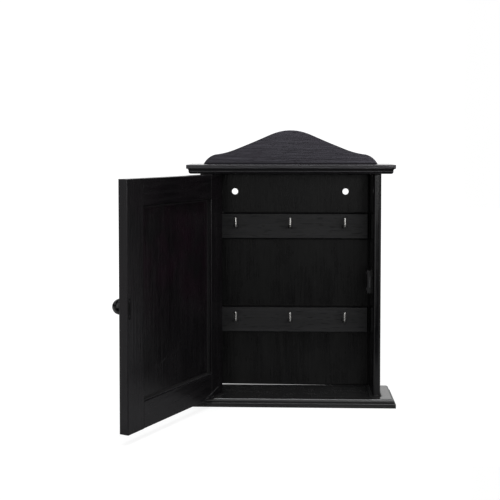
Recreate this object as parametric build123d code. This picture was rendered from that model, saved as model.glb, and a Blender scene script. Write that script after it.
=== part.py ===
from build123d import *
import os

# Wall key cabinet: a moulded plinth and cornice, two sides, a nailed back, a crest board,
# two rails with hooks, and a framed door on pivot pins. All sizes are in millimetres.
# The origin is the centre of the plinth's underside, +X to the right, +Y to the wall, +Z up.

# Carcass
carcass_width = 180.0
carcass_depth = 48.0
carcass_height = 223.0
side_thickness = 8.0
side_ease = 3.2

# Plinth, a board with a moulded edge on three sides
plinth_thickness = 8.5
plinth_side_overhang = 14.2
plinth_front_overhang = 11.0
plinth_fillet = 4.2
plinth_cove = 1.5
plinth_round = 2.7
moulding_ease = 0.4

# Cornice, the same moulding upside down
cornice_thickness = 9.0
cornice_side_overhang = 12.7
cornice_front_overhang = 11.7
cornice_fillet = 3.8
cornice_cove = 2.2
cornice_round = 2.2

# Crest, an ogee board standing on the cornice
crest_height = 34.3
crest_thickness = 8.0
crest_setback = 20.0
crest_end_inset = 2.0
crest_brow_run = 27.0
crest_brow_drop = 7.4
crest_sweep_run = 52.0
crest_sweep_height = 16.4
crest_shoulder_run = 13.0
crest_shoulder_height = 10.0
crest_ear_bulge = 1.4
crest_ease = 0.8

# Back panel, nailed on the rear edges of the sides
back_thickness = 3.0
back_side_inset = 1.0
back_end_gap = 0.5
back_foot_gap = 0.75
back_foot_skew = 1.0
hanging_hole_diameter = 6.5
hanging_hole_spacing = 115.0
hanging_hole_drop = 20.0

# Hook rails
rail_height = 25.4
rail_thickness = 6.0
rail_end_gap = 2.0
rail_ease = 0.6
upper_rail_drop = 43.0
lower_rail_drop = 140.5

# Hooks, bent from wire and screwed into the rails
hook_wire = 2.8
hook_end_distance = 24.0
hook_reach = 12.0
hook_rise = 10.0
hook_bend = 2.6
hook_tip_round = 0.9
hook_shank = 5.0

# Door, a grooved frame round a loose panel
door_gap = 0.6
door_recess = 0.5
door_thickness = 9.3
door_ease = 0.6
hinge_edge_round = 2.5
hinge_stile_width = 21.4
free_stile_width = 24.3
door_top_rail_width = 24.3
door_bottom_rail_width = 24.3
panel_thickness = 3.0
panel_recess = 4.1
panel_edge_gap = 0.5
groove_depth = 5.5
groove_play = 0.1
tenon_length = 5.0

# Pivot hinge
pivot_inset = 6.2
pivot_setback = 4.0
pivot_pin_diameter = 2.5
pivot_pin_reach = 8.0
pivot_play = 0.06
pivot_hole_spare = 0.6
washer_diameter = 6.0
washer_thickness = 0.5
open_angle = 116.5

# Knob
knob_height = 118.3
knob_diameter = 14.2
knob_stand = 7.2
knob_collar_diameter = 9.2
knob_collar_height = 1.3
knob_tenon_diameter = 5.0
knob_tenon_length = 6.0
knob_inset = 12.0

# Magnetic catch on the right side, and its strike on the door
latch_height = 122.5
catch_height = 23.0
catch_width = 5.0
catch_depth = 12.0
catch_ease = 0.6
catch_pocket_height = 11.0
catch_pocket_depth = 9.0
pole_thickness = 1.0
pole_proud = 0.4
magnet_setback = 0.8
magnet_thickness = 1.8
catch_screw_offset = 8.4
catch_gap = 0.2
strike_drop = 3.5
strike_height = 18.0
strike_width = 3.4
strike_thickness = 0.5
strike_edge_gap = 0.3
strike_pin_offset = 6.6

# Fasteners: head diameter, head thickness, shank diameter and length
screw_head = 5.6
screw_head_thickness = 1.6
screw_shank = 2.8
screw_length = 22.0
small_screw_head = 3.6
small_screw_head_thickness = 1.1
small_screw_shank = 1.8
small_screw_length = 10.0
nail_head = 2.8
nail_head_thickness = 0.6
nail_shank = 1.5
cornice_nail_length = 24.0
back_nail_length = 14.0
rail_nail_length = 8.0
strike_pin_head = 1.8
strike_pin_head_thickness = 0.4
strike_pin_shank = 1.0
strike_pin_length = 4.5
fastener_end_distance = 11.0
back_nail_count = 5
back_nail_end_distance = 18.0
rail_nail_end_distance = 10.0
dowel_diameter = 4.0
dowel_length = 14.0
dowel_depth_in_cornice = 6.0
dowel_end_distance = 44.5
recess_width = 0.5
recess_depth = 0.5

# Clearance round whatever is driven or glued into wood
drive_play = 0.02

# Planes and lines that the pieces share
plinth_depth = plinth_front_overhang + carcass_depth
y_face = plinth_front_overhang - plinth_depth / 2
y_rear = y_face + carcass_depth
y_back = y_rear + back_thickness
x_outer = carcass_width / 2
x_inner = x_outer - side_thickness
x_side_middle = x_outer - side_thickness / 2
z_floor = plinth_thickness
z_ceiling = z_floor + carcass_height
z_top = z_ceiling + cornice_thickness
z_hanging = z_ceiling - hanging_hole_drop
z_upper_rail = z_ceiling - upper_rail_drop - rail_height / 2
z_lower_rail = z_ceiling - lower_rail_drop - rail_height / 2
y_rail_face = y_rear - rail_thickness
x_rail_end = x_inner - rail_end_gap
x_outer_hook = x_rail_end - hook_end_distance
x_pivot = -x_inner + pivot_inset
y_pivot = y_face + pivot_setback
pivot_axis = Axis((x_pivot, y_pivot, 0), (0, 0, 1))

# The door where it stands when it is shut
x_hinge_edge = -x_inner + door_gap
x_free_edge = x_inner - door_gap
x_hinge_shoulder = x_hinge_edge + hinge_stile_width
x_free_shoulder = x_free_edge - free_stile_width
y_door = y_face + door_recess
y_door_rear = y_door + door_thickness
y_panel_rear = y_door_rear - panel_recess
y_panel = y_panel_rear - panel_thickness
z_door = z_floor + door_gap
z_door_top = z_ceiling - door_gap
z_bottom_shoulder = z_door + door_bottom_rail_width
z_top_shoulder = z_door_top - door_top_rail_width
y_strike_rear = y_door_rear + strike_thickness
y_poles = y_strike_rear + catch_gap
y_catch = y_poles + pole_proud
x_catch = x_inner - catch_width
z_strike = latch_height - strike_drop

# Directions that a fastener's head points in
down = (180, 0, 0)
to_the_wall = (-90, 0, 0)
to_the_left = (0, -90, 0)
to_the_front = (90, 0, 0)


def block(x_from, x_to, y_from, y_to, z_from, z_to):
    """A square-cornered board between two corners."""
    centre = Pos((x_from + x_to) / 2, (y_from + y_to) / 2, (z_from + z_to) / 2)
    return centre * Box(x_to - x_from, y_to - y_from, z_to - z_from)


def post(radius, bottom, top):
    """A round bar on the Z axis, from one height to another."""
    return Pos(0, 0, bottom) * Cylinder(radius, top - bottom, align=(Align.CENTER, Align.CENTER, Align.MIN))


def ease(board, direction, corners, radius):
    """The board with its long arrises nearest to the given corners rounded."""
    for corner in corners:
        arris = board.edges().filter_by(direction).sort_by_distance(corner)[0]
        board = fillet(arris, radius)
    return board


def moulded_section(inner, outer, thickness, fillet_height, cove, rounding):
    """Section of a board from a plain end to a moulded edge, which has a fillet, a cove and a round."""
    neck = outer - cove
    round_start = thickness - rounding
    outline = Polyline((inner, thickness), (inner, 0), (outer, 0), (outer, fillet_height))
    outline += CenterArc((outer, fillet_height + cove), cove, 270, -90)
    outline += Line((neck, fillet_height + cove), (neck, round_start))
    outline += CenterArc((neck - rounding, round_start), rounding, 0, 90)
    outline += Line((neck - rounding, thickness), (inner, thickness))
    section = make_face(outline)
    arrises = [section.vertices().sort_by_distance(corner)[0] for corner in ((outer, 0), (outer, fillet_height))]
    return fillet(arrises, moulding_ease)


def moulded_board(half_width, front, rear, thickness, fillet_height, cove, rounding):
    """A board lying on Z = 0, moulded on its two ends and its front, with mitred corners."""
    moulding = (thickness, fillet_height, cove, rounding)
    right_half = extrude(Plane.XZ * moulded_section(0, half_width, *moulding), 2 * (rear - front), both=True)
    along = right_half + mirror(right_half, Plane.YZ)
    facing_front = Plane(origin=(0, 0, 0), x_dir=(0, -1, 0), z_dir=(-1, 0, 0))
    across = extrude(facing_front * moulded_section(-rear, -front, *moulding), 2 * half_width, both=True)
    return along & across


def screw(head, head_thickness, shank, length, play=0.0):
    """A countersunk screw, or with play the hole for it. Its head's top is at Z = 0."""
    cone = Cone(shank / 2 + play, head / 2 + play, head_thickness,
                align=(Align.CENTER, Align.CENTER, Align.MAX))
    return cone + post(shank / 2 + play, -length, -head_thickness)


def cross_recess(head):
    """The two crossed slots in a screw's head."""
    slot = Box(head * 0.6, recess_width, 2 * recess_depth)
    return slot + Rot(0, 0, 90) * slot


def nail(head, head_thickness, shank, length, play=0.0):
    """A flat-headed nail, or with play the hole for it. Its head's top is at Z = 0."""
    return post(head / 2 + play, -head_thickness, 0) + post(shank / 2 + play, -length, -head_thickness)


def placed(shape, places):
    """A copy of a shape at each place, as separate solids."""
    return [place * shape for place in places]


def bored(board, hole, places):
    """A board with the same hole at each place."""
    for cutter in placed(hole, places):
        board = board - cutter
    return board


def open_door(shape):
    """A piece of the shut door, swung to where the open door stands."""
    return shape.rotate(pivot_axis, -open_angle)


# Where the fasteners go
plinth_screw_places = [
    Location((x, y, 0), down)
    for x in (-x_side_middle, x_side_middle)
    for y in (y_face + fastener_end_distance, y_rear - fastener_end_distance)
]
cornice_nail_places = [
    Location((x, y, z_top))
    for x in (-x_side_middle, x_side_middle)
    for y in (y_face + fastener_end_distance, y_rear - fastener_end_distance)
]
back_nail_pitch = (carcass_height - 2 * back_nail_end_distance) / (back_nail_count - 1)
back_nail_places = [
    Location((x, y_back, z_floor + back_nail_end_distance + i * back_nail_pitch), to_the_wall)
    for x in (-x_side_middle, x_side_middle)
    for i in range(back_nail_count)
]
x_rail_nail = x_rail_end - rail_nail_end_distance
x_crest_end = x_outer - crest_end_inset
x_dowel = x_crest_end - dowel_end_distance
crest_middle = y_face + crest_setback + crest_thickness / 2
dowel_places = [Location((x, crest_middle, z_top)) for x in (-x_dowel, x_dowel)]
catch_screw_places = [
    Location((x_catch, y_catch + catch_depth / 2, latch_height + offset), to_the_left)
    for offset in (-catch_screw_offset, catch_screw_offset)
]
strike_pin_places = [
    Location((x_free_edge - strike_edge_gap - strike_width / 2, y_strike_rear, z_strike + offset), to_the_wall)
    for offset in (-strike_pin_offset, strike_pin_offset)
]


def rail_nail_places(z):
    """The two nails that hold a hook rail through the back panel."""
    return [Location((x, y_back, z), to_the_wall) for x in (-x_rail_nail, x_rail_nail)]


def plinth_screw(play=0.0):
    return screw(screw_head, screw_head_thickness, screw_shank, screw_length, play)


def catch_screw(play=0.0):
    return screw(small_screw_head, small_screw_head_thickness, small_screw_shank, small_screw_length, play)


def cornice_nail(play=0.0):
    return nail(nail_head, nail_head_thickness, nail_shank, cornice_nail_length, play)


def back_nail(play=0.0):
    return nail(nail_head, nail_head_thickness, nail_shank, back_nail_length, play)


def rail_nail(play=0.0):
    return nail(nail_head, nail_head_thickness, nail_shank, rail_nail_length, play)


def strike_pin(play=0.0):
    return nail(strike_pin_head, strike_pin_head_thickness, strike_pin_shank, strike_pin_length, play)


def dowel(play=0.0):
    """A glued dowel between the cornice and the crest, sunk into both from Z = 0."""
    return post(dowel_diameter / 2 + play, -dowel_depth_in_cornice, dowel_length - dowel_depth_in_cornice)


def pivot_pin_hole(bottom, top):
    """The hole that a pivot pin is driven into."""
    return Pos(x_pivot, y_pivot, 0) * post(pivot_pin_diameter / 2 + drive_play, bottom, top)


def plinth():
    """The moulded bottom board, which is also the cabinet's floor."""
    half_width = x_outer + plinth_side_overhang
    front = y_face - plinth_front_overhang
    board = moulded_board(half_width, front, y_rear, plinth_thickness, plinth_fillet, plinth_cove, plinth_round)
    board = bored(board, plinth_screw(drive_play), plinth_screw_places)
    return board - pivot_pin_hole(0, z_floor)


def cornice():
    """The moulded top board."""
    half_width = x_outer + cornice_side_overhang
    front = y_face - cornice_front_overhang
    board = moulded_board(half_width, front, y_rear, cornice_thickness, cornice_fillet, cornice_cove, cornice_round)
    board = Pos(0, 0, z_top) * mirror(board, Plane.XY)
    board = bored(board, cornice_nail(drive_play), cornice_nail_places)
    board = bored(board, dowel(drive_play), dowel_places)
    return board - pivot_pin_hole(z_ceiling, z_top)


def crest():
    """The ogee board that stands on the cornice, with small rounded ears at its ends."""
    shoulder = x_crest_end - crest_shoulder_run
    outline = Spline(
        (0, crest_height),
        (crest_brow_run, crest_height - crest_brow_drop),
        (crest_sweep_run, crest_sweep_height),
        (shoulder, crest_shoulder_height),
        tangents=[(1, 0), (1, -0.12)],
    )
    ear_middle = (x_crest_end - crest_shoulder_run / 2 + crest_ear_bulge,
                  crest_shoulder_height / 2 + crest_ear_bulge)
    outline += ThreePointArc((shoulder, crest_shoulder_height), ear_middle, (x_crest_end, 0))
    outline += Polyline((x_crest_end, 0), (0, 0), (0, crest_height))
    half = extrude(Plane.XZ * make_face(outline), crest_thickness / 2, both=True)
    board = Pos(0, crest_middle, z_top) * (half + mirror(half, Plane.YZ))
    curved = []
    for face in (board.faces().sort_by(Axis.Y)[0], board.faces().sort_by(Axis.Y)[-1]):
        curved += face.edges().filter_by(GeomType.LINE, reverse=True)
    board = fillet(curved, crest_ease)
    return bored(board, dowel(drive_play), dowel_places)


def side(x_from, x_to):
    """One upright side of the carcass, with its two front arrises rounded."""
    board = block(x_from, x_to, y_face, y_rear, z_floor, z_ceiling)
    board = ease(board, Axis.Z, [(x_from, y_face, z_floor), (x_to, y_face, z_floor)], side_ease)
    board = bored(board, plinth_screw(drive_play), plinth_screw_places)
    board = bored(board, cornice_nail(drive_play), cornice_nail_places)
    return bored(board, back_nail(drive_play), back_nail_places)


def right_side():
    """The side that carries the catch."""
    return bored(side(x_inner, x_outer), catch_screw(drive_play), catch_screw_places)


def back_panel():
    """The thin panel on the rear of the sides, cut a little askew at its foot, with its two hanging holes."""
    half_width = x_outer - back_side_inset
    foot = z_floor + back_foot_gap
    head = z_ceiling - back_end_gap
    outline = Polyline((-half_width, foot), (half_width, foot - back_foot_skew), (half_width, head),
                       (-half_width, head), close=True)
    panel = extrude(Plane.XZ.offset(-y_rear) * make_face(outline), -back_thickness)
    hole = Rot(*to_the_wall) * post(hanging_hole_diameter / 2, -back_thickness, back_thickness)
    half_spacing = hanging_hole_spacing / 2
    panel = bored(panel, hole, [Pos(x, y_rear, z_hanging) for x in (-half_spacing, half_spacing)])
    panel = bored(panel, back_nail(drive_play), back_nail_places)
    for z in (z_upper_rail, z_lower_rail):
        panel = bored(panel, rail_nail(drive_play), rail_nail_places(z))
    return panel


def hook_rail(z):
    """One horizontal rail on the back panel, bored for its hooks and nails."""
    bottom = z - rail_height / 2
    top = z + rail_height / 2
    rail = block(-x_rail_end, x_rail_end, y_rail_face, y_rear, bottom, top)
    rail = ease(rail, Axis.X, [(0, y_rail_face, bottom), (0, y_rail_face, top)], rail_ease)
    shank_hole = Rot(*to_the_front) * post(hook_wire / 2 + drive_play, -hook_shank, 0)
    rail = bored(rail, shank_hole, [Pos(x, y_rail_face, z) for x in (-x_outer_hook, 0, x_outer_hook)])
    return bored(rail, rail_nail(drive_play), rail_nail_places(z))


def hook(x, z):
    """A wire hook: a shank in the rail, a tight bend and an upright tip with a rounded end."""
    route = FilletPolyline(
        (x, y_rail_face + hook_shank, z),
        (x, y_rail_face - hook_reach, z),
        (x, y_rail_face - hook_reach, z + hook_rise),
        radius=hook_bend,
    )
    section = Plane(origin=route @ 0, z_dir=route % 0) * Circle(hook_wire / 2)
    wire = sweep(section, path=route)
    tip = wire.faces().sort_by(Axis.Z)[-1]
    return fillet(tip.edges(), hook_tip_round)


def stile(x_from, x_to, groove_from, groove_to):
    """One upright of the door's frame, grooved on the edge that faces the panel."""
    upright = block(x_from, x_to, y_door, y_door_rear, z_door, z_door_top)
    groove = block(groove_from, groove_to, y_panel - groove_play, y_panel_rear + groove_play, z_door, z_door_top)
    return upright, groove


def hinge_stile():
    """The stile on the pivot side, with a rounded outer edge that turns past the cabinet's side."""
    upright, groove = stile(x_hinge_edge, x_hinge_shoulder, x_hinge_shoulder - groove_depth, x_hinge_shoulder)
    upright = ease(upright, Axis.Z, [(x_hinge_edge, y_door, z_door)], hinge_edge_round)
    others = [(x_hinge_edge, y_door_rear, z_door), (x_hinge_shoulder, y_door, z_door),
              (x_hinge_shoulder, y_door_rear, z_door)]
    upright = ease(upright, Axis.Z, others, door_ease) - groove
    depth = pivot_pin_reach + pivot_hole_spare
    for bottom, top in ((z_door, z_door + depth), (z_door_top - depth, z_door_top)):
        upright -= Pos(x_pivot, y_pivot, 0) * post(pivot_pin_diameter / 2 + pivot_play, bottom, top)
    return open_door(upright)


def free_stile():
    """The stile on the opening side, bored for the knob and for the strike's pins."""
    upright, groove = stile(x_free_shoulder, x_free_edge, x_free_shoulder, x_free_shoulder + groove_depth)
    corners = [(x, y, z_door) for x in (x_free_shoulder, x_free_edge) for y in (y_door, y_door_rear)]
    upright = ease(upright, Axis.Z, corners, door_ease) - groove
    knob_hole = Rot(*to_the_front) * post(knob_tenon_diameter / 2 + drive_play, -knob_tenon_length, 0)
    upright -= Pos(x_free_edge - knob_inset, y_door, knob_height) * knob_hole
    return open_door(bored(upright, strike_pin(drive_play), strike_pin_places))


def door_rail(z_from, z_to, groove_from, groove_to):
    """One crosspiece of the door's frame, with a stub tenon at each end and a groove for the panel."""
    rail = block(x_hinge_shoulder, x_free_shoulder, y_door, y_door_rear, z_from, z_to)
    corners = [(0, y, z) for y in (y_door, y_door_rear) for z in (z_from, z_to)]
    rail = ease(rail, Axis.X, corners, door_ease)
    rail += block(x_hinge_shoulder - tenon_length, x_free_shoulder + tenon_length, y_panel, y_panel_rear,
                  z_from, z_to)
    groove = block(x_hinge_edge, x_free_edge, y_panel - groove_play, y_panel_rear + groove_play,
                   groove_from, groove_to)
    return open_door(rail - groove)


def door_panel():
    """The thin panel that lies loose in the grooves."""
    reach = groove_depth - panel_edge_gap
    return open_door(block(x_hinge_shoulder - reach, x_free_shoulder + reach, y_panel, y_panel_rear,
                           z_bottom_shoulder - reach, z_top_shoulder + reach))


def door_knob():
    """A turned ball knob on a thin collar, with a tenon glued into the stile."""
    radius = knob_diameter / 2
    seat_radius = (radius**2 - (knob_stand - knob_collar_height) ** 2) ** 0.5
    outline = Polyline(
        (0, knob_stand + radius),
        (0, -knob_tenon_length),
        (knob_tenon_diameter / 2, -knob_tenon_length),
        (knob_tenon_diameter / 2, 0),
        (knob_collar_diameter / 2, 0),
        (knob_collar_diameter / 2, knob_collar_height),
        (seat_radius, knob_collar_height),
    )
    outline += ThreePointArc((seat_radius, knob_collar_height), (radius, knob_stand), (0, knob_stand + radius))
    turned = revolve(Plane.XZ * make_face(outline), Axis.Z)
    place = Location((x_free_edge - knob_inset, y_door, knob_height), to_the_front)
    return open_door(place * turned)


def lower_pivot_pin():
    return Pos(x_pivot, y_pivot, 0) * post(pivot_pin_diameter / 2, 0, z_door + pivot_pin_reach)


def upper_pivot_pin():
    return Pos(x_pivot, y_pivot, 0) * post(pivot_pin_diameter / 2, z_door_top - pivot_pin_reach, z_top)


def pivot_washer():
    """The washer under the hinge stile, which carries the door."""
    ring = post(washer_diameter / 2, z_floor, z_floor + washer_thickness)
    ring -= post(pivot_pin_diameter / 2 + pivot_play, z_floor, z_floor + washer_thickness)
    return Pos(x_pivot, y_pivot, 0) * ring


def catch_housing():
    """The catch's moulded case, open to the door at a pocket for the magnet and its poles."""
    bottom = latch_height - catch_height / 2
    top = latch_height + catch_height / 2
    case = block(x_catch, x_inner, y_catch, y_catch + catch_depth, bottom, top)
    corners = [(x_catch, y_catch, latch_height), (x_catch, y_catch + catch_depth, latch_height)]
    case = ease(case, Axis.Z, corners, catch_ease)
    filling = magnet_thickness + 2 * pole_thickness
    pocket_middle = x_inner - catch_width / 2
    case -= block(pocket_middle - filling / 2, pocket_middle + filling / 2, y_catch, y_catch + catch_pocket_depth,
                  latch_height - catch_pocket_height / 2, latch_height + catch_pocket_height / 2)
    return bored(case, catch_screw(drive_play), catch_screw_places)


def catch_plate(x_from, x_to, y_from):
    """A plate in the catch's pocket, from its front edge to the pocket's end."""
    return block(x_from, x_to, y_from, y_catch + catch_pocket_depth,
                 latch_height - catch_pocket_height / 2, latch_height + catch_pocket_height / 2)


def catch_magnet():
    middle = x_inner - catch_width / 2
    return catch_plate(middle - magnet_thickness / 2, middle + magnet_thickness / 2, y_catch + magnet_setback)


def catch_pole_plates():
    """The two steel plates beside the magnet, which stand proud of the case."""
    middle = x_inner - catch_width / 2
    inner = magnet_thickness / 2
    outer = inner + pole_thickness
    return [catch_plate(middle - outer, middle - inner, y_poles), catch_plate(middle + inner, middle + outer, y_poles)]


def strike_plate():
    """The small steel plate on the door that the catch holds."""
    right = x_free_edge - strike_edge_gap
    plate = block(right - strike_width, right, y_door_rear, y_strike_rear,
                  z_strike - strike_height / 2, z_strike + strike_height / 2)
    return open_door(bored(plate, strike_pin(drive_play), strike_pin_places))


def opened(solids):
    """A group of solids on the door, swung open with it."""
    return [open_door(solid) for solid in solids]


nodes = {
    "plinth": plinth(),
    "cornice": cornice(),
    "crest": crest(),
    "left_side": side(-x_outer, -x_inner),
    "right_side": right_side(),
    "back_panel": back_panel(),
    "upper_hook_rail": hook_rail(z_upper_rail),
    "lower_hook_rail": hook_rail(z_lower_rail),
    "hinge_stile": hinge_stile(),
    "free_stile": free_stile(),
    "door_top_rail": door_rail(z_top_shoulder, z_door_top, z_top_shoulder, z_top_shoulder + groove_depth),
    "door_bottom_rail": door_rail(z_door, z_bottom_shoulder, z_bottom_shoulder - groove_depth, z_bottom_shoulder),
    "door_panel": door_panel(),
    "door_knob": door_knob(),
    "lower_pivot_pin": lower_pivot_pin(),
    "upper_pivot_pin": upper_pivot_pin(),
    "pivot_washer": pivot_washer(),
    "catch_housing": catch_housing(),
    "catch_magnet": catch_magnet(),
    "catch_pole_plates": catch_pole_plates(),
    "catch_screws": placed(catch_screw() - cross_recess(small_screw_head), catch_screw_places),
    "strike_plate": strike_plate(),
    "strike_pins": opened(placed(strike_pin(), strike_pin_places)),
    "plinth_screws": placed(plinth_screw() - cross_recess(screw_head), plinth_screw_places),
    "cornice_nails": placed(cornice_nail(), cornice_nail_places),
    "crest_dowels": placed(dowel(), dowel_places),
    "back_panel_nails": placed(back_nail(), back_nail_places),
    "upper_rail_nails": placed(rail_nail(), rail_nail_places(z_upper_rail)),
    "lower_rail_nails": placed(rail_nail(), rail_nail_places(z_lower_rail)),
}
for row, z_row in (("upper", z_upper_rail), ("lower", z_lower_rail)):
    for place, x_hook in (("left", -x_outer_hook), ("middle", 0), ("right", x_outer_hook)):
        nodes[f"{row}_{place}_hook"] = hook(x_hook, z_row)

os.makedirs("parts", exist_ok=True)
for name, shape in nodes.items():
    if isinstance(shape, list):
        shape = Compound(children=[Compound(solid.wrapped) for solid in shape])
    export_step(shape, f"parts/{name}.step")
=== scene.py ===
import math

import bpy
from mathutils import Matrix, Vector

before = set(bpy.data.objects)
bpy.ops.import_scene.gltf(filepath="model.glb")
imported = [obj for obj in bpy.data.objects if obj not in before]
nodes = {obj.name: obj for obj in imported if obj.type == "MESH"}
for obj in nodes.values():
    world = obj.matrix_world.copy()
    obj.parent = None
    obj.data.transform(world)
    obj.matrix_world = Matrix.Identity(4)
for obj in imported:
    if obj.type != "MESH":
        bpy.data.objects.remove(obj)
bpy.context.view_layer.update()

# The camera, in metres and degrees, and its focal length in pixels of a square picture
picture_width = 500
focal_pixels = 979.68
horizon_shift = -0.1266
camera_place = (-0.00792, -0.98969, 0.26094)
camera_pan = 1.9054
camera_pitch = 2.5
sensor_width = 36.0

# The door stands open by this many degrees, and its crosspieces lie in that direction
open_angle = 116.5

# Faces that meet at less than this many degrees are shaded as one
smooth_angle = 25

# Stain colours, in linear light
carcass_stain = (0.0024, 0.0023, 0.0027)
carcass_streak = (0.0054, 0.0052, 0.0060)
plinth_stain = (0.0082, 0.0082, 0.0084)
plinth_streak = (0.0185, 0.0185, 0.0187)
panel_stain = (0.0026, 0.0026, 0.0027)
panel_streak = (0.0085, 0.0085, 0.0084)
rail_stain = (0.0172, 0.0172, 0.0179)
rail_streak = (0.0275, 0.0275, 0.0283)
door_stain = (0.0028, 0.0024, 0.0029)
door_streak = (0.0105, 0.0096, 0.0107)

# The colour of plain gloss, light and backdrop
white = (1.0, 1.0, 1.0)

# Colours that lie over the stain
pore_black = (0.0025, 0.0025, 0.003)
plum_bloom = (0.0110, 0.0040, 0.0080)
bare_wood = (0.060, 0.050, 0.042)
dust_colour = (0.34, 0.335, 0.33)
# Painted shade in recesses and the mouldings' coves
painted_shade_black = (0.001, 0.001, 0.001)
# The colour of the pale marks, one of them a painted highlight
mark_and_highlight_colour = (0.075, 0.075, 0.077)

# Heights in metres between which the plum bloom of the door grows
bloom_heights = (0.085, 0.140)

# Wood grain, in metres, with X along the fibres: where the tree's heart lies, how many radians its rings turn
# through in a metre, how many more they wander, and how thin they are
to_the_heart = (0.0, 0.075, 0.055)
ring_turns = 1100.0
ring_wander = 30.0
ring_sharpness = 3.0

# Wood grain: how many features a metre holds along each axis
wander_scale = (6.0, 20.0, 20.0)
band_scale = (5.0, 60.0, 60.0)
strand_scale = (22.0, 430.0, 430.0)
fine_scale = (60.0, 1500.0, 1500.0)
pore_scale = (75.0, 900.0, 900.0)

# Other patterns: how many features a metre holds
rub_scale = 55.0
speck_scale = 1500.0
speck_patch_scale = 60.0
cloud_scale = 34.0
line_break_scale = 900.0
knob_ripple_scale = 260.0
tarnish_scale = 420.0
pitting_scale = 2600.0
magnet_pit_scale = 1800.0

# Where stain rubs off an arris: the cosine of the angle between its face and its rounding, from none to all
rub_starts, rub_ends = 0.995, 0.86

# How open a place is to the sky, from where painted shade starts to where it is full
shade_starts, shade_ends = 0.92, 0.6

# The part of a pale line's half width over which it is full
line_core = 0.4

# How much the wood's fibres roughen the coat over them
fibre_roughness = 0.06


def fill(tree, node, inputs):
    """Sets or links a node's inputs by name or number."""
    for key, value in inputs.items():
        if isinstance(value, bpy.types.NodeSocket):
            tree.links.new(value, node.inputs[key])
        else:
            node.inputs[key].default_value = value


def add(tree, kind, inputs=None, **settings):
    """Adds a node, sets its options, and fills its inputs."""
    node = tree.nodes.new(kind)
    for name, value in settings.items():
        setattr(node, name, value)
    fill(tree, node, inputs or {})
    return node


def calculate(tree, operation, *values, clamp=False):
    """The result of a sum on numbers."""
    inputs = dict(enumerate(values))
    return add(tree, "ShaderNodeMath", inputs, operation=operation, use_clamp=clamp).outputs[0]


def reckon(tree, operation, *vectors, output="Vector"):
    """The result of a sum on vectors, which is a vector or a value."""
    inputs = dict(enumerate(vectors))
    return add(tree, "ShaderNodeVectorMath", inputs, operation=operation).outputs[output]


def product(tree, first, *others):
    """Values multiplied together."""
    for other in others:
        first = calculate(tree, "MULTIPLY", first, other)
    return first


def summed(tree, start, parts):
    """A value raised by each part's share of it, and held between 0 and 1."""
    for part, share in parts:
        start = calculate(tree, "MULTIPLY_ADD", part, share, start, clamp=True)
    return start


def spread(tree, value, low, high, to_low=0.0, to_high=1.0):
    """A value taken from one range to another, and held inside it."""
    inputs = {"Value": value, "From Min": low, "From Max": high, "To Min": to_low, "To Max": to_high}
    return add(tree, "ShaderNodeMapRange", inputs).outputs["Result"]


def window(tree, value, low, high, softness):
    """1 between two values, and 0 outside them."""
    opening = spread(tree, value, low - softness, low + softness)
    return product(tree, opening, spread(tree, value, high + softness, high - softness))


def noise(tree, vector, scale, detail=3.0, roughness=0.5):
    """Noise with so many features a metre, in every direction or along each axis."""
    if isinstance(scale, tuple):
        vector, scale = reckon(tree, "MULTIPLY", vector, scale), 1.0
    inputs = {"Vector": vector, "Scale": scale, "Detail": detail, "Roughness": roughness}
    return add(tree, "ShaderNodeTexNoise", inputs).outputs["Fac"]


def blended(tree, factor, low, high):
    """A colour between two, which may be colours or sockets."""
    node = add(tree, "ShaderNodeMix", {"Factor": factor}, data_type="RGBA")
    low, high = ((*colour, 1.0) if isinstance(colour, tuple) else colour for colour in (low, high))
    fill(tree, node, {6: low, 7: high})
    return node.outputs[2]


def layered(tree, colour, layers):
    """A colour under layers, each with its mask, how much it covers, and its own colour."""
    for mask, cover, layer in layers:
        colour = blended(tree, product(tree, mask, cover), colour, layer)
    return colour


def bumped(tree, height, relief, strength, normal=None):
    """The normal of a surface with a relief of so many metres."""
    bump = add(tree, "ShaderNodeBump", {"Strength": strength, "Distance": relief, "Height": height})
    if normal is not None:
        tree.links.new(normal, bump.inputs["Normal"])
    return bump.outputs["Normal"]


def group(name, inputs, outputs):
    """An empty node group with named sockets. Returns its tree, its input node and its output node."""
    tree = bpy.data.node_groups.new(name, "ShaderNodeTree")
    for socket, kind, value in inputs:
        made = tree.interface.new_socket(name=socket, in_out="INPUT", socket_type=kind)
        if value is not None:
            made.default_value = value
    for socket, kind in outputs:
        tree.interface.new_socket(name=socket, in_out="OUTPUT", socket_type=kind)
    return tree, tree.nodes.new("NodeGroupInput"), tree.nodes.new("NodeGroupOutput")


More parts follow.
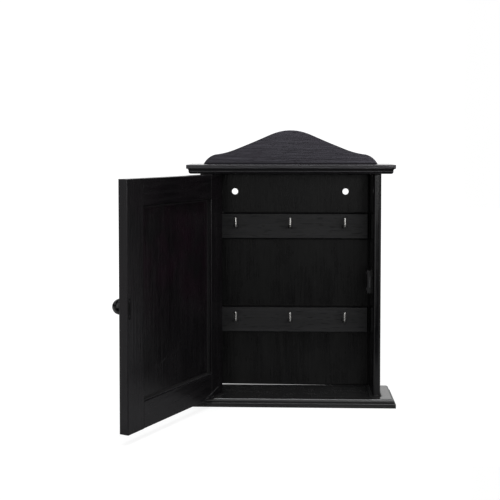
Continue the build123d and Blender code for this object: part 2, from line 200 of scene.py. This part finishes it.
def make_grain_group():
    """Wood grain on coordinates in metres whose X runs along the fibres."""
    tree, given, result = group(
        "wood_grain",
        [("Vector", "NodeSocketVector", None)],
        [("Tone", "NodeSocketFloat"), ("Fibre", "NodeSocketFloat"), ("Pores", "NodeSocketFloat"),
         ("Height", "NodeSocketFloat")])
    vector = given.outputs["Vector"]
    across_fibres = (0.0, 1.0, 1.0)
    from_heart = reckon(tree, "MULTIPLY", reckon(tree, "ADD", vector, to_the_heart), across_fibres)
    phase = product(tree, reckon(tree, "LENGTH", from_heart, output="Value"), ring_turns)
    wander = noise(tree, vector, wander_scale, detail=2.0)
    phase = calculate(tree, "MULTIPLY_ADD", wander, ring_wander, phase)
    rings = calculate(tree, "MULTIPLY_ADD", calculate(tree, "SINE", phase), 0.5, 0.5)
    rings = calculate(tree, "POWER", rings, ring_sharpness)
    bands = spread(tree, noise(tree, vector, band_scale), 0.3, 0.7)
    tone = summed(tree, 0.0, ((bands, 0.6), (rings, 0.4)))
    strands = spread(tree, noise(tree, vector, strand_scale, detail=4.0, roughness=0.55), 0.34, 0.68)
    fine = spread(tree, noise(tree, vector, fine_scale, detail=2.0), 0.3, 0.7)
    fibre = summed(tree, 0.0, ((fine, 0.3), (strands, 0.7)))
    pores = spread(tree, noise(tree, vector, pore_scale, detail=1.0), 0.60, 0.68)
    height = calculate(tree, "MULTIPLY_ADD", pores, -0.35, fibre)
    fill(tree, result, {"Tone": tone, "Fibre": fibre, "Pores": pores, "Height": height})
    return tree


def make_edge_group():
    """Softened arrises: a normal that rounds them, and a broken mask along them for rubbed stain."""
    tree, given, result = group(
        "arrises",
        [("Vector", "NodeSocketVector", None), ("Radius", "NodeSocketFloat", 0.0004)],
        [("Normal", "NodeSocketVector"), ("Rub", "NodeSocketFloat")])
    rounded = add(tree, "ShaderNodeBevel", {"Radius": given.outputs["Radius"]}, samples=4).outputs["Normal"]
    flat = add(tree, "ShaderNodeNewGeometry").outputs["Normal"]
    turned = reckon(tree, "DOT_PRODUCT", rounded, flat, output="Value")
    arris = spread(tree, turned, rub_starts, rub_ends)
    patches = noise(tree, given.outputs["Vector"], rub_scale, detail=4.0, roughness=0.65)
    patches = spread(tree, patches, 0.5, 0.72)
    fill(tree, result, {"Normal": rounded, "Rub": product(tree, arris, patches)})
    return tree


def make_dust_group():
    """Fine specks, thick on what faces up and thin elsewhere, and a slow cloud of handling marks."""
    tree, given, result = group(
        "dust",
        [("Vector", "NodeSocketVector", None), ("Amount", "NodeSocketFloat", 1.0)],
        [("Specks", "NodeSocketFloat"), ("Cloud", "NodeSocketFloat")])
    vector, amount = given.outputs["Vector"], given.outputs["Amount"]
    normal = add(tree, "ShaderNodeNewGeometry").outputs["Normal"]
    upward = add(tree, "ShaderNodeSeparateXYZ", {0: normal}).outputs["Z"]
    upward = spread(tree, upward, 0.2, 0.95, to_low=0.12)
    specks = spread(tree, noise(tree, vector, speck_scale, detail=2.0, roughness=0.6), 0.635, 0.70)
    patches = spread(tree, noise(tree, vector, speck_patch_scale), 0.42, 0.62)
    cloud = spread(tree, noise(tree, vector, cloud_scale, detail=4.0, roughness=0.6), 0.35, 0.65)
    fill(tree, result, {"Specks": product(tree, specks, patches, upward, amount), "Cloud": cloud})
    return tree


def make_recess_shade_group():
    """A mask of narrow recesses, which get painted shade and a dull coat."""
    tree, given, result = group(
        "painted_recess_shade", [("Reach", "NodeSocketFloat", 0.003)], [("Mask", "NodeSocketFloat")])
    sky = add(tree, "ShaderNodeAmbientOcclusion", {"Distance": given.outputs["Reach"]}, samples=8)
    fill(tree, result, {"Mask": spread(tree, sky.outputs["AO"], shade_starts, shade_ends)})
    return tree


grain_group = make_grain_group()
edge_group = make_edge_group()
dust_group = make_dust_group()
recess_shade_group = make_recess_shade_group()


def use(tree, node_tree, inputs):
    """Places a node group in a material with its own values."""
    return add(tree, "ShaderNodeGroup", inputs, node_tree=node_tree).outputs


def new_material(name):
    """A material with one shader, and the tree and shader to fill."""
    material = bpy.data.materials.new(name)
    material.use_nodes = True
    tree = material.node_tree
    return material, tree, tree.nodes["Principled BSDF"]


def place_on_piece(tree):
    """The piece's own coordinates, in metres."""
    return add(tree, "ShaderNodeTexCoord").outputs["Object"]


def grain_coordinates(tree, turn, offset=(0.0, 0.0, 0.0)):
    """The piece's coordinates, turned so that X runs along the grain, and moved to another cut."""
    inputs = {"Vector": place_on_piece(tree), "Rotation": turn, "Location": offset}
    return add(tree, "ShaderNodeMapping", inputs).outputs["Vector"]


def pale_line_mask(tree, start, end, width):
    """A broken pale line between two places on a piece, for pale marks and a painted highlight."""
    place = place_on_piece(tree)
    along = Vector(end) - Vector(start)
    from_start = reckon(tree, "SUBTRACT", place, start)
    share = reckon(tree, "DOT_PRODUCT", from_start, along / along.length_squared, output="Value")
    share = spread(tree, share, 0.0, 1.0)
    nearest = add(tree, "ShaderNodeVectorMath", {0: along, "Scale": share}, operation="SCALE")
    distance = reckon(tree, "DISTANCE", from_start, nearest.outputs["Vector"], output="Value")
    line = spread(tree, distance, width, line_core * width)
    breaks = spread(tree, noise(tree, place, line_break_scale, roughness=0.7), 0.40, 0.58)
    return product(tree, line, breaks)


def stained_board(name, turn, offset, cove, marks, stain, streak, satin, gloss, relief, tint=white, plum=0.0):
    """Black stain under a thin coat, with the wood's fibres and pores showing through."""
    material, tree, shader = new_material(name)
    vector = grain_coordinates(tree, turn, offset)
    grain = use(tree, grain_group, {"Vector": vector})
    edges = use(tree, edge_group, {"Vector": vector})
    dust = use(tree, dust_group, {"Vector": vector})
    recess_shade = use(tree, recess_shade_group, {})["Mask"]
    height = add(tree, "ShaderNodeSeparateXYZ", {0: place_on_piece(tree)}).outputs["Z"]
    # The mouldings' coves join the recesses in painted shade and a dull coat
    if cove:
        recess_shade = calculate(tree, "MAXIMUM", recess_shade, window(tree, height, *cove, cove_softness))
    pale_fibre = summed(tree, 0.0, ((grain["Fibre"], 0.65), (grain["Tone"], 0.45)))
    layers = [
        (grain["Pores"], 0.7, pore_black),
        (dust["Cloud"], spread(tree, height, *bloom_heights, to_high=plum), plum_bloom),
        (edges["Rub"], 0.3, bare_wood),
        (dust["Specks"], 0.3, dust_colour),
        # Painted shade darkens recesses and coves
        (recess_shade, 0.85, painted_shade_black),
    ]
    # Pale marks, one of them a painted highlight
    for start, end, width, strength in marks:
        layers.append((pale_line_mask(tree, start, end, width), strength, mark_and_highlight_colour))
    roughness = summed(tree, satin - fibre_roughness, (
        (grain["Fibre"], fibre_roughness), (grain["Tone"], 0.06), (grain["Pores"], 0.05),
        (dust["Cloud"], 0.06), (dust["Specks"], 0.3), (recess_shade, 0.9)))
    fill(tree, shader, {
        "Base Color": layered(tree, blended(tree, pale_fibre, stain, streak), layers),
        "Roughness": roughness,
        "Normal": bumped(tree, grain["Height"], relief, 0.5, edges["Normal"]),
        "Specular IOR Level": gloss,
        "Specular Tint": (*tint, 1.0),
    })
    return material


def lacquered_knob():
    """Black gloss lacquer on a turned ball, with faint turning rings and a few dull marks."""
    material, tree, shader = new_material("black_lacquer_on_knob")
    vector = place_on_piece(tree)
    edges = use(tree, edge_group, {"Vector": vector, "Radius": 0.0003})
    dust = use(tree, dust_group, {"Vector": vector, "Amount": 0.5})
    colour = blended(tree, dust["Cloud"], (0.006, 0.006, 0.0065), (0.011, 0.011, 0.012))
    ripple = noise(tree, vector, knob_ripple_scale, detail=2.0)
    fill(tree, shader, {
        "Base Color": layered(tree, colour, [(dust["Specks"], 0.4, dust_colour)]),
        "Roughness": summed(tree, 0.13, [(dust["Cloud"], 0.10)]),
        "Normal": bumped(tree, ripple, 0.0001, 0.15, edges["Normal"]),
        "Specular IOR Level": 0.4,
    })
    return material


def metal(name, bright, dull, rough, lines_per_metre):
    """A metal with drawn or brushed lines, patches of tarnish and softened edges."""
    material, tree, shader = new_material(name)
    vector = place_on_piece(tree)
    edges = use(tree, edge_group, {"Vector": vector, "Radius": 0.0002})
    tarnish = spread(tree, noise(tree, vector, tarnish_scale, detail=4.0, roughness=0.6), 0.38, 0.68)
    lines = noise(tree, vector, lines_per_metre, roughness=0.6)
    fill(tree, shader, {
        "Base Color": blended(tree, tarnish, bright, dull),
        "Roughness": summed(tree, rough, ((tarnish, 0.16), (lines, 0.1))),
        "Normal": bumped(tree, lines, 0.00005, 0.2, edges["Normal"]),
        "Metallic": 1.0,
    })
    return material


def moulded_plastic():
    """Black plastic of the catch's case, with a fine spark-eroded texture."""
    material, tree, shader = new_material("black_plastic_on_catch")
    vector = place_on_piece(tree)
    edges = use(tree, edge_group, {"Vector": vector, "Radius": 0.0004})
    dust = use(tree, dust_group, {"Vector": vector, "Amount": 0.6})
    colour = blended(tree, dust["Cloud"], (0.0045, 0.0045, 0.0048), (0.0080, 0.0080, 0.0085))
    pitting = noise(tree, vector, pitting_scale, detail=2.0)
    fill(tree, shader, {
        "Base Color": layered(tree, colour, [(edges["Rub"], 0.4, (0.07, 0.07, 0.073))]),
        "Roughness": summed(tree, 0.28, [(pitting, 0.2)]),
        "Normal": bumped(tree, pitting, 0.00003, 0.3, edges["Normal"]),
        "Specular IOR Level": 0.3,
    })
    return material


def ferrite():
    """The catch's magnet, dull and slightly porous."""
    material, tree, shader = new_material("sintered_magnet")
    pits = spread(tree, noise(tree, place_on_piece(tree), magnet_pit_scale, roughness=0.6), 0.35, 0.6)
    fill(tree, shader, {
        "Base Color": blended(tree, pits, (0.02, 0.02, 0.021), (0.06, 0.06, 0.063)),
        "Roughness": summed(tree, 0.65, [(pits, -0.15)]),
        "Normal": bumped(tree, pits, 0.0001, 0.5),
    })
    return material


def turned_beech():
    """Bare beech of the dowels."""
    material, tree, shader = new_material("bare_beech_dowel")
    grain = use(tree, grain_group, {"Vector": grain_coordinates(tree, grain_upright)})
    colour = blended(tree, grain["Fibre"], (0.42, 0.27, 0.15), (0.56, 0.39, 0.24))
    fill(tree, shader, {
        "Base Color": blended(tree, grain["Pores"], colour, (0.24, 0.14, 0.08)),
        "Roughness": summed(tree, 0.5, [(grain["Fibre"], 0.15)]),
        "Normal": bumped(tree, grain["Height"], 0.0001, 0.5),
    })
    return material


def finish_with(material, *names):
    """Gives pieces a finish."""
    for name in names:
        data = nodes[name].data
        data.materials.clear()
        data.materials.append(material)


# How a board's coordinates turn so that X runs along its grain
grain_across = (0.0, 0.0, 0.0)
grain_upright = (0.0, math.radians(90), 0.0)
grain_along_door = (0.0, 0.0, math.radians(open_angle))

# Finishes of boards: stain and its lighter streaks, roughness, gloss and its tint, which paints a cool cast
# of the light into the reflections, relief of the grain in metres, and strength of the plum bloom
crest_finish = dict(stain=carcass_stain, streak=carcass_streak, satin=0.16, gloss=0.5, tint=(0.88, 0.85, 1.0),
                    relief=0.00007, plum=0.2)
cornice_finish = dict(stain=carcass_stain, streak=carcass_streak, satin=0.16, gloss=0.5,
                      tint=(0.96, 0.95, 1.0), relief=0.00006, plum=0.1)
carcass_finish = dict(stain=carcass_stain, streak=carcass_streak, satin=0.13, gloss=0.5, relief=0.00003)
plinth_finish = dict(stain=plinth_stain, streak=plinth_streak, satin=0.17, gloss=0.5, relief=0.00003)
back_finish = dict(stain=panel_stain, streak=panel_streak, satin=0.26, gloss=0.15, relief=0.00008)
rail_finish = dict(stain=rail_stain, streak=rail_streak, satin=0.32, gloss=0.15, relief=0.00004)
frame_finish = dict(stain=door_stain, streak=door_streak, satin=0.19, gloss=0.5, tint=(0.98, 0.97, 1.0),
                    relief=0.00010, plum=0.15)
door_panel_finish = dict(stain=door_stain, streak=door_streak, satin=0.19, gloss=0.5, relief=0.00010,
                         plum=0.75)

# Each board's finish, the direction of its grain, and where in the pattern it was cut
boards = {
    "plinth": (plinth_finish, grain_across, (0.31, 0.02, 0.11)),
    "cornice": (cornice_finish, grain_across, (0.73, 0.05, 0.37)),
    "crest": (crest_finish, grain_across, (1.17, -0.03, 0.05)),
    "left_side": (carcass_finish, grain_upright, (1.61, 0.07, 0.21)),
    "right_side": (carcass_finish, grain_upright, (2.03, 0.12, 0.47)),
    "back_panel": (back_finish, grain_upright, (2.47, 0.31, 0.02)),
    "upper_hook_rail": (rail_finish, grain_across, (2.91, 0.09, 0.33)),
    "lower_hook_rail": (rail_finish, grain_across, (3.37, 0.17, 0.29)),
    "hinge_stile": (frame_finish, grain_upright, (3.83, 0.23, 0.13)),
    "free_stile": (frame_finish, grain_upright, (4.27, 0.41, 0.19)),
    "door_top_rail": (frame_finish, grain_along_door, (4.71, 0.27, 0.07)),
    "door_bottom_rail": (frame_finish, grain_along_door, (5.13, 0.37, 0.23)),
    "door_panel": (door_panel_finish, grain_upright, (5.57, 0.15, 0.31)),
}

# Heights in metres of the mouldings' coves, which get painted shade and a dull coat
coves = {"plinth": (0.0043, 0.0059), "cornice": (0.2343, 0.2366)}
cove_softness = 0.0002

# Pale marks, each from and to a place in metres, with its half width and strength; the one beside the upper
# rail's left end is a painted highlight
foot_streak = ((-0.0830, -0.0420, 0.0108), (-0.0722, -0.0203, 0.0179), 0.0011, 0.7)
foot_mark = ((-0.0772, -0.0304, 0.0102), (-0.0760, -0.0280, 0.0104), 0.0008, 0.8)
# A painted highlight on the back panel beside the upper rail's left end
rail_highlight = ((-0.0712, 0.0295, 0.1893), (-0.0694, 0.0295, 0.1896), 0.0008, 0.6)
panel_mark = ((-0.1190, -0.1045, 0.0610), (-0.1150, -0.0965, 0.0640), 0.0007, 0.35)
marks_and_highlights = {
    "hinge_stile": (foot_streak, foot_mark),
    "door_bottom_rail": (foot_streak,),
    "back_panel": (rail_highlight,),
    "door_panel": (panel_mark,),
}

# Metals: bright and tarnished colours, roughness, and how many lines a metre holds along each axis
metals = {
    "nickel_plated_wire": dict(bright=(0.74, 0.73, 0.71), dull=(0.50, 0.49, 0.47), rough=0.2,
                               lines_per_metre=(500.0, 500.0, 500.0)),
    "bright_steel": dict(bright=(0.62, 0.62, 0.63), dull=(0.36, 0.36, 0.37), rough=0.24,
                         lines_per_metre=(300.0, 2400.0, 2400.0)),
    "blackened_steel": dict(bright=(0.034, 0.034, 0.035), dull=(0.022, 0.022, 0.023), rough=0.34,
                            lines_per_metre=(900.0, 900.0, 900.0)),
    "dulled_steel": dict(bright=(0.10, 0.10, 0.102), dull=(0.05, 0.05, 0.052), rough=0.34,
                         lines_per_metre=(900.0, 900.0, 900.0)),
}
hooks = [f"{row}_{place}_hook" for row in ("upper", "lower") for place in ("left", "middle", "right")]
made_of = {
    "nickel_plated_wire": hooks,
    "bright_steel": ["lower_pivot_pin", "upper_pivot_pin", "pivot_washer", "catch_screws", "plinth_screws",
                     "cornice_nails", "back_panel_nails", "upper_rail_nails", "lower_rail_nails"],
    "blackened_steel": ["strike_plate", "catch_pole_plates"],
    "dulled_steel": ["strike_pins"],
}

for board, (finish, turn, offset) in boards.items():
    name = f"black_stain_on_{board}"
    finish_with(stained_board(name, turn, offset, coves.get(board), marks_and_highlights.get(board, ()), **finish), board)
for name, look in metals.items():
    finish_with(metal(name, **look), *made_of[name])
finish_with(lacquered_knob(), "door_knob")
finish_with(moulded_plastic(), "catch_housing")
finish_with(ferrite(), "catch_magnet")
finish_with(turned_beech(), "crest_dowels")

for node in nodes.values():
    bpy.ops.object.select_all(action="DESELECT")
    node.select_set(True)
    bpy.context.view_layer.objects.active = node
    bpy.ops.object.shade_smooth_by_angle(angle=math.radians(smooth_angle))
bpy.ops.object.select_all(action="DESELECT")


# The white table: its front edge and how far it reaches, in metres, its colour, how brightly it shows near
# the cabinet and far from it, and the distances between which that changes
table_front = -0.20
table_reach = 3.0
table_grey = (0.22, 0.22, 0.22)
near_glow = 0.84
far_glow = 1.0
glow_distances = (0.25, 0.9)

# The shade behind the cabinet, from side to side and front to back
shade_across = (-0.09, 0.075)
shade_behind = (0.03, 0.25)
shade_softness = 0.02
shade_depth = 0.45

# Where polished faces show the table: behind the cabinet, up to its right end, and at its left
gleam = 0.5
gleam_behind = (0.08, 0.2)
gleam_right_end = (0.3, 0.15)
gleam_left = (-0.17, -0.3)

# The backdrop behind the cabinet: how bright it is, from and to what rearward part of directions it starts,
# and from and to what rightward part its right end dims
backdrop_light = 1.1
backdrop_rear = (0.6, 0.85)
backdrop_right = (0.17, 0.24)
backdrop_right_light = 0.4

# Bright parts of the room: from and to a bearing, from and to a height, and brightness. Bearings are in
# degrees from straight in front of the cabinet towards its right, and heights are the upward parts of
# directions.
room_panels = {
    "front": (-30, 14, 0.0, 0.10, 2.4),
    "front_low": (-30, 14, -0.10, 0.0, 0.4),
    "front_high": (-55, 55, 0.25, 0.90, 0.95),
    "front_right": (38, 72, -0.17, 0.45, 0.5),
    "right": (76, 122, -0.17, 0.45, 0.12),
    "right_high": (75, 150, 0.30, 0.65, 0.5),
    "left_high": (-150, -75, 0.30, 0.65, 0.5),
    "front_left": (-50, -28, -0.17, 0.45, 1.0),
    "left": (-85, -52, -0.40, 0.12, 0.38),
}
bearing_softness = 4.0
height_softness = 0.03

# Lamps: place, the point they face, width and height in metres, power in watts, and colour
lamps = {
    "overhead_softbox": dict(place=(0.0, -0.06, 1.3), target=(0.0, -0.05, 0.15), width=0.75, height=0.75,
                             power=16.0, colour=(0.97, 0.98, 1.0)),
    "key_softbox": dict(place=(0.56, -1.17, 0.40), target=(0.0, 0.0, 0.16), width=0.66, height=0.30,
                        power=3.8, colour=white),
}


def make_table():
    """The white table that the cabinet stands on."""
    bpy.ops.mesh.primitive_plane_add(size=1.0)
    table = bpy.context.object
    table.name = "white_table"
    corners = [(x, y, 0.0) for y in (table_front, table_reach) for x in (-table_reach, table_reach)]
    for vertex, corner in zip(table.data.vertices, corners):
        vertex.co = corner
    material, tree, shader = new_material("white_table_top")
    path = add(tree, "ShaderNodeLightPath").outputs
    place = add(tree, "ShaderNodeNewGeometry").outputs["Position"]
    x, y, _ = add(tree, "ShaderNodeSeparateXYZ", {0: place}).outputs
    shade = product(tree, window(tree, x, *shade_across, shade_softness),
                    window(tree, y, *shade_behind, shade_softness))
    distance = reckon(tree, "LENGTH", place, output="Value")
    glow = product(tree, spread(tree, distance, *glow_distances, near_glow, far_glow),
                   calculate(tree, "MULTIPLY_ADD", shade, -shade_depth, 1.0))
    seen = calculate(tree, "MAXIMUM", path["Is Camera Ray"], path["Is Transmission Ray"])
    behind = product(tree, spread(tree, y, *gleam_behind), spread(tree, x, *gleam_right_end))
    gleaming = calculate(tree, "MAXIMUM", behind, spread(tree, x, *gleam_left))
    gleaming = product(tree, gleaming, gleam, path["Is Glossy Ray"])
    fill(tree, shader, {
        "Base Color": (*table_grey, 1.0),
        "Roughness": 0.9,
        "Specular IOR Level": 0.1,
        "Emission Color": (*white, 1.0),
        "Emission Strength": calculate(tree, "MULTIPLY_ADD", seen, glow, gleaming),
    })
    table.data.materials.append(material)


def make_room():
    """The room: white where the camera looks past the table, with a backdrop and bright panels."""
    world = bpy.data.worlds.new("studio")
    world.use_nodes = True
    bpy.context.scene.world = world
    tree = world.node_tree
    camera_ray = add(tree, "ShaderNodeLightPath").outputs["Is Camera Ray"]
    direction = add(tree, "ShaderNodeTexCoord").outputs["Generated"]
    x, y, z = add(tree, "ShaderNodeSeparateXYZ", {0: direction}).outputs
    bearing = calculate(tree, "ARCTAN2", x, calculate(tree, "MULTIPLY", y, -1.0))
    bearing = calculate(tree, "DEGREES", bearing)
    room = product(tree, spread(tree, y, *backdrop_rear),
                   spread(tree, x, *backdrop_right, 1.0, backdrop_right_light), backdrop_light)
    for left, right, low, high, light in room_panels.values():
        panel = product(tree, window(tree, bearing, left, right, bearing_softness),
                        window(tree, z, low, high, height_softness))
        room = calculate(tree, "MULTIPLY_ADD", panel, light, room)
    fill(tree, tree.nodes["Background"], {
        "Color": (*white, 1.0),
        "Strength": calculate(tree, "MAXIMUM", room, camera_ray),
    })


def softbox(name, place, target, width, height, power, colour):
    """A rectangular lamp that faces a point."""
    data = bpy.data.lights.new(name, "AREA")
    data.shape = "RECTANGLE"
    data.size = width
    data.size_y = height
    data.energy = power
    data.color = colour
    lamp = bpy.data.objects.new(name, data)
    bpy.context.scene.collection.objects.link(lamp)
    lamp.location = place
    lamp.rotation_euler = (Vector(target) - Vector(place)).to_track_quat("-Z", "Y").to_euler()


make_table()
make_room()
for name, lamp in lamps.items():
    softbox(name, **lamp)

camera_data = bpy.data.cameras.new("camera")
camera_data.sensor_width = sensor_width
camera_data.lens = focal_pixels / picture_width * sensor_width
camera_data.shift_y = horizon_shift
camera = bpy.data.objects.new("camera", camera_data)
bpy.context.scene.collection.objects.link(camera)
camera.location = camera_place
camera.rotation_euler = (math.radians(90 - camera_pitch), 0.0, math.radians(camera_pan))
bpy.context.scene.camera = camera
bpy.context.scene.view_settings.view_transform = "Standard"
